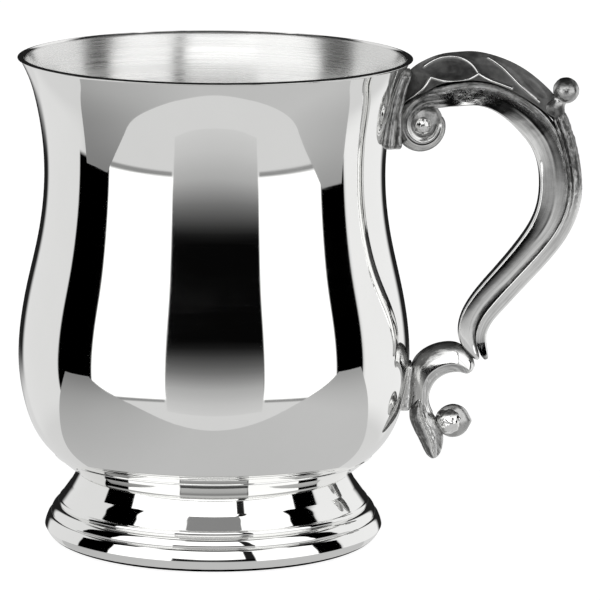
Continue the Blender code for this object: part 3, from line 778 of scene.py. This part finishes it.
# The two backplates: piece, CAD node, lower and upper end, half width, beads on the edge, how
# far they are rubbed bright, and the face towards the handle as height and reach
PADS = (
    ("upper_pad_plate", "upper_pad", 96.5, 116.0, 5.2, 1.5, 0.36,
     ((96.5, 45.2), (106.0, 45.0), (112.0, 46.3), (116.0, 47.6))),
    ("lower_pad_plate", "lower_pad", 31.5, 44.0, 3.0, 1.0, 0.80,
     ((31.5, 47.9), (44.0, 48.2))),
)
PAD_ROWS = 110
PAD_SINK = 0.6
PAD_THICKNESS = 1.4


def bowl_radius_at(height):
    """The bowl's outer radius in mm at a height in mm."""
    side = natural_spline(BOWL_SIDE, SIDE_STEPS)
    below_lip = side[:-3 * SIDE_STEPS, 0]
    widest = int(np.argmax(below_lip))
    part = side[widest:] if height > side[widest, 1] else side[:widest + 1]
    return float(np.interp(height, part[:, 1], part[:, 0]))


def make_pads():
    """Two plates that stand between the bowl and the handle, with upright beads on their edges."""
    for name, node, low, high, half, beads, rubbed_and_shade, face in PADS:
        levels = np.linspace(low, high, PAD_ROWS)
        skin = np.array([bowl_radius_at(level) for level in levels]) - PAD_SINK
        front = np.interp(levels, *np.array(face).T)
        inner = np.column_stack((skin, levels))
        outer = np.column_stack((np.maximum(front, skin + PAD_THICKNESS), levels))

        def section(across, share, half=half, beads=beads):
            rounds = np.abs(np.sin(np.clip(across, 0.0, 0.8) / 0.8 * beads * math.pi)) ** 0.6
            return half + 0.45 * rounds + (across > 0.8) * 0.1

        mesh = ribbon_mesh(name, outer, inner, section, columns_per_side=40, end_reach=1.5)
        roughen(mesh, amount=0.00008, size=0.0018, seed=5.0)
        paint(mesh, "rubbed_and_shade", rubbed_and_shade)
        add_piece(name, mesh, (CAST,), "cast_pewter", node)


# The lower scroll's two outlines, from beside the ball up the pad and over to its tip
LOWER_OUTER = (
    (47.7, 30.6), (47.7, 35.0), (47.9, 40.0), (48.5, 43.7), (50.2, 46.1), (53.0, 47.9),
    (56.2, 48.8), (59.4, 48.6), (62.2, 46.6), (64.2, 43.2),
)
LOWER_INNER = (
    (54.2, 30.4), (53.1, 32.6), (52.7, 34.6), (53.3, 37.3), (54.8, 39.5), (57.1, 40.9),
    (59.0, 41.3), (60.5, 41.2), (61.8, 40.9), (62.9, 40.9),
)
# Where the strip inside the scroll's outer band begins, as a share of the way across
LOWER_CREASE = 0.66
# The flat curl at the scroll's lower end, and the ball that stands out of both its sides
LOWER_CURL = (58.7, 0.0, 29.0)
LOWER_CURL_RADIUS = 4.15
LOWER_BALL = (57.8, 0.0, 29.1)
LOWER_BALL_RADIUS = 3.3


def make_lower_scroll():
    rows = 190
    outer = even(natural_spline(LOWER_OUTER, 12), rows)
    inner = even(natural_spline(LOWER_INNER, 12), rows)

    def section(across, share):
        half = np.interp(share, (0.0, 0.3, 0.8, 1.0), (3.4, 4.2, 4.2, 3.3))
        band = half * quarter_round(0.5 * across / LOWER_CREASE)
        left = np.clip((across - LOWER_CREASE) / (1.0 - LOWER_CREASE), 0.0, 1.0)
        strip = (0.80 - 0.16 * left) * half * np.sqrt(1.0 - left ** 6)
        groove = 0.10 * np.exp(-((left - 0.55) / 0.08) ** 2)
        return np.where(across < LOWER_CREASE, band, strip - groove)

    mesh = ribbon_mesh("lower_scroll_band", outer, inner, section, columns_per_side=56, end_reach=1.6)
    roughen(mesh, amount=0.00003, size=0.0045, seed=6.0)
    level = heights(mesh)
    across = shares(mesh)
    x = reaches(mesh)
    # Painted shade: at its top the scroll is dark along its outer edge over a band that is wider towards
    # the bowl, lightens across it, and is darker again past the crease; lower down it is even
    shaded = np.clip(0.62 - 0.030 * (x - 50.0), 0.28, 0.62)
    lit = np.clip((across - 0.04) / shaded, 0.0, 1.0)
    top = 1.20 * smooth_step(0.0, 1.0, lit) - 0.30 - 0.32 * smooth_step(0.62, 0.70, across)
    paint(mesh, "rubbed_and_shade", 0.72 + (top - 0.72) * smooth_step(41.0, 44.5, level))
    add_piece("lower_scroll_band", mesh, (CAST,), "cast_pewter", "lower_scroll")
    curl = ball_mesh("lower_curl", LOWER_CURL, LOWER_CURL_RADIUS, squash_y=0.62, seam=0.45)
    roughen(curl, amount=0.00005, size=0.0025, seed=7.0)
    paint(curl, "rubbed_and_shade", 0.46)
    add_piece("lower_curl", curl, (CAST,), "cast_pewter")
    ball = ball_mesh("lower_ball", LOWER_BALL, LOWER_BALL_RADIUS, squash_y=1.22)
    roughen(ball, amount=0.00028, size=0.0021, seed=7.0)
    # Painted shade: the ball is bright below and dark over its top
    paint(ball, "rubbed_and_shade", 0.95 - 0.95 * smooth_step(30.4, 31.4, heights(ball)))
    add_piece("lower_ball", ball, (CAST,), "cast_pewter", "lower_scroll_ball")


# The tail's two outlines, from under the lower scroll down to its point
TAIL_OUTER = (
    (50.4, 36.2), (48.4, 33.2), (48.0, 30.2), (49.0, 27.0), (50.9, 23.3), (52.2, 20.7), (53.4, 19.2),
)
TAIL_INNER = (
    (51.3, 36.0), (52.6, 33.4), (53.5, 31.4), (54.8, 29.2), (56.0, 26.8), (56.4, 23.8), (55.4, 19.9),
)


def make_tail():
    rows = 120
    outer = even(natural_spline(TAIL_OUTER, 12), rows)
    inner = even(natural_spline(TAIL_INNER, 12), rows)

    def section(across, share):
        half = np.interp(share, (0.0, 0.2, 0.5, 0.8, 1.0), (3.6, 4.0, 3.6, 2.6, 1.8))
        flank = half * 0.86 * quarter_round(across / 0.45)
        ridge = half * np.clip(1.0 - ((across - 0.54) / 0.20) ** 2, 0.0, 1.0) ** 0.5
        right = half * 0.80 * quarter_round((1.0 - across) / 0.45)
        return np.maximum(np.minimum(flank, right), ridge)

    mesh = ribbon_mesh("tail_leaf", outer, inner, section, columns_per_side=52, end_reach=1.4)
    across = shares(mesh)
    ridge = smooth_step(0.25, 0.38, across) * (1.0 - smooth_step(0.62, 0.72, across))
    roughen(mesh, amount=0.00014, size=0.0011, seed=8.0, mask=0.3 + 0.7 * ridge)
    paint(mesh, "rubbed_and_shade", 0.10 + 0.38 * smooth_step(0.22, 0.40, across) + 0.27 * ridge)
    add_piece("tail_leaf", mesh, (CAST,), "cast_pewter", "tail_drop")


# ---------------------------------------------------------------- studio and camera

def make_world():
    """A room of softboxes, black flags and pale walls around the tankard."""
    world = bpy.data.worlds.new("studio")
    bpy.context.scene.world = world
    graph = Graph(world)
    direction = graph.add("TexCoord").outputs["Generated"]
    parts = graph.add("SeparateXYZ", None, Vector=direction)
    back = graph.math("MULTIPLY", parts.outputs[1], -1.0)
    azimuth = graph.math("DEGREES", graph.math("ARCTAN2", parts.outputs[0], back))
    elevation = graph.math("DEGREES", graph.math("ARCSINE", parts.outputs[2]))
    level = graph.ramp(elevation, *FLOOR_TO_BACK, FLOOR_GLOW, BACK_BRIGHTNESS)
    high = graph.ramp(elevation, *BACK_TO_CEILING, 0.0, 1.0)
    level = blend_values(graph, level, CEILING_BRIGHTNESS, high)
    for name, left, right, bottom, top, brightness, soft in PANELS:
        inside = 1.0
        for angle, edge, before, after in ((azimuth, left, 0.0, 1.0), (azimuth, right, 1.0, 0.0),
                                           (elevation, bottom, 0.0, 1.0), (elevation, top, 1.0, 0.0)):
            step = graph.ramp(angle, edge - soft, edge + soft, before, after)
            inside = graph.math("MULTIPLY", inside, step)
        value = brightness
        if name == "front_gap":
            value = graph.grey_ramp(graph.ramp(elevation, *GAP_FADE_ENDS, 0.0, 1.0, False), GAP_FADE)
        level = blend_values(graph, level, value, inside)
    background = graph.tree.nodes["Background"]
    graph.tree.links.new(level, background.inputs["Color"])
    background.inputs["Strength"].default_value = 1.0


def blend_values(graph, first, second, share):
    node = graph.add("Mix", {"data_type": "FLOAT"}, i0=share, i2=first, i3=second)
    return node.outputs[0]


def stage_sheet(name, grid, wrap=False):
    """A surface that belongs to the studio."""
    sheet = bpy.data.objects.new(name, grid_mesh(name, grid, wrap))
    bpy.context.scene.collection.objects.link(sheet)
    return sheet


def mirrored_sheet(name, grid, wrap=False):
    """A surface of the studio that is seen only as a reflection in the metal."""
    sheet = stage_sheet(name, grid, wrap)
    sheet.visible_camera = False
    sheet.visible_diffuse = False
    sheet.visible_shadow = False
    return sheet


def dull_material(name, grey):
    made = bpy.data.materials.new(name)
    graph = Graph(made)
    shader = graph.tree.nodes["Principled BSDF"]
    shader.inputs["Base Color"].default_value = (grey, grey, grey, 1.0)
    shader.inputs["Specular IOR Level"].default_value = 0.0
    return made, graph, shader


def add_glow(sheet, name, axis, low, high, stops, smooth):
    """Let a sheet shine with grey stops by its place along an axis between low and high."""
    made, graph, shader = dull_material(name, 0.0)
    place = graph.add("SeparateXYZ", None, Vector=graph.add("NewGeometry").outputs["Position"])
    share = graph.ramp(place.outputs[axis], low, high, 0.0, 1.0, smooth)
    graph.tree.links.new(graph.grey_ramp(share, stops), shader.inputs["Emission Color"])
    shader.inputs["Emission Strength"].default_value = 1.0
    sheet.data.materials.append(made)


FLOOR_REACH = 6.0
FLOOR_GREY = 0.30
FLOOR_LIGHT = 0.90


def make_floor():
    grid = np.empty((2, 2, 3))
    for i, y in enumerate((-FLOOR_REACH, FLOOR_REACH)):
        for j, x in enumerate((-FLOOR_REACH, FLOOR_REACH)):
            grid[i, j] = x, y, TABLE_Z
    floor = stage_sheet("floor", grid)
    floor.visible_glossy = False
    floor.visible_diffuse = False
    made, _, shader = dull_material("pale_floor", FLOOR_GREY)
    shader.inputs["Roughness"].default_value = 1.0
    shader.inputs["Emission Color"].default_value = (1.0, 1.0, 1.0, 1.0)
    shader.inputs["Emission Strength"].default_value = FLOOR_LIGHT
    floor.data.materials.append(made)


# The plinth's painted reflection, a glowing sheet seen only in the metal: its front edge, as places to the
# right of the axis and in front of it, in metres; and its painted brightness by places to the right of the
# axis
PLINTH_EDGE = (
    (-0.45, -0.128), (-0.30, -0.138), (-0.19, -0.148), (-0.12, -0.147), (-0.06, -0.136),
    (0.0, -0.129), (0.06, -0.136), (0.12, -0.148), (0.20, -0.158), (0.35, -0.163), (0.60, -0.165),
)
PLINTH_GLOW = ((0.0, 0.24), (0.20, 0.44), (0.36, 0.56), (0.48, 0.57), (0.62, 0.58), (1.0, 0.36))
PLINTH_BACK = 0.018
PLINTH_DROP = 0.021


def make_plinth_reflection():
    """The grey plinth that the tankard stands on, painted as a glowing sheet that only the metal reflects.
    """
    edge = natural_spline(PLINTH_EDGE, 12)
    grid = np.empty((2, len(edge), 3))
    grid[:, :, 0] = AXIS_X + edge[:, 0]
    grid[0, :, 1] = edge[:, 1]
    grid[1, :, 1] = PLINTH_BACK
    grid[:, :, 2] = TABLE_Z - PLINTH_DROP
    low, high = AXIS_X + PLINTH_EDGE[0][0], AXIS_X + PLINTH_EDGE[-1][0]
    add_glow(mirrored_sheet("plinth_reflection", grid), "plinth_glow", "X", low, high, PLINTH_GLOW, True)


# The card in front of the bowl, painted as a glowing sheet that only the metal reflects: its distance
# from the axis, its left and right edge, and its painted brightness by height over the table, all in
# metres
CARD_DISTANCE = 0.465
CARD_LEFT, CARD_RIGHT = -0.232, 0.241
CARD_GLOW = (
    (-0.170, 0.67), (-0.110, 0.60), (-0.033, 0.45), (0.0, 0.31), (0.030, 0.185), (0.050, 0.125),
    (0.069, 0.075), (0.085, 0.035), (0.100, 0.010), (0.115, 0.003),
)


def make_card_reflection():
    """A card in front of the bowl, painted as a glowing sheet seen only in the metal, that darkens
    upwards.
    """
    low, high = CARD_GLOW[0][0], CARD_GLOW[-1][0]
    grid = np.empty((2, 2, 3))
    for i, height in enumerate((low, high)):
        for j, place in enumerate((CARD_LEFT, CARD_RIGHT)):
            grid[i, j] = AXIS_X + place, -CARD_DISTANCE, TABLE_Z + height
    stops = [((height - low) / (high - low), level) for height, level in CARD_GLOW]
    card = mirrored_sheet("front_card_reflection", grid)
    add_glow(card, "card_glow", "Z", TABLE_Z + low, TABLE_Z + high, stops, False)


# The painted contact shade under the foot's edge, a black ring seen only in the metal: its inner and outer
# radius and its depth, in metres
SHADE_RING_REACH = (0.030, 0.0396)
SHADE_RING_DEPTH = 0.0002
SHADE_RING_STEPS = 64


def make_contact_shade():
    """Painted shade where the foot meets the plinth: a black ring that only the metal reflects."""
    angles = np.arange(SHADE_RING_STEPS) * math.tau / SHADE_RING_STEPS
    grid = np.empty((2, SHADE_RING_STEPS, 3))
    for i, reach in enumerate(SHADE_RING_REACH):
        grid[i, :, 0] = AXIS_X + reach * np.cos(angles)
        grid[i, :, 1] = reach * np.sin(angles)
        grid[i, :, 2] = TABLE_Z - SHADE_RING_DEPTH
    ring = mirrored_sheet("contact_shadow", grid, True)
    ring.data.materials.append(dull_material("painted_contact_shade", 0.0)[0])


def make_camera():
    data = bpy.data.cameras.new("photo_camera")
    data.lens = CAMERA_LENS
    data.sensor_width = CAMERA_SENSOR
    data.clip_end = 50.0
    camera = bpy.data.objects.new("photo_camera", data)
    level = Vector((math.cos(CAMERA_YAW), -math.sin(CAMERA_YAW), 0.0))
    ahead = Vector((math.sin(CAMERA_YAW), math.cos(CAMERA_YAW), 0.0))
    upright = Vector((0.0, 0.0, 1.0))
    aim = ahead * math.cos(CAMERA_PITCH) - upright * math.sin(CAMERA_PITCH)
    top = ahead * math.sin(CAMERA_PITCH) + upright * math.cos(CAMERA_PITCH)
    right = level * math.cos(CAMERA_ROLL) - top * math.sin(CAMERA_ROLL)
    top = level * math.sin(CAMERA_ROLL) + top * math.cos(CAMERA_ROLL)
    place = Matrix((right, top, -aim)).transposed().to_4x4()
    place.translation = (AXIS_X, -CAMERA_DISTANCE, TABLE_Z + CAMERA_HEIGHT)
    camera.matrix_world = place
    bpy.context.scene.collection.objects.link(camera)
    bpy.context.scene.camera = camera


make_camera()
make_world()
make_floor()
make_plinth_reflection()
make_card_reflection()
make_contact_shade()
make_bowl()
make_neck()
make_foot()
make_bar()
make_spine()
make_eyes()
make_leaf()
make_thumb_ball()
make_pads()
make_lower_scroll()
make_tail()
bpy.context.scene.view_settings.view_transform = "Standard"
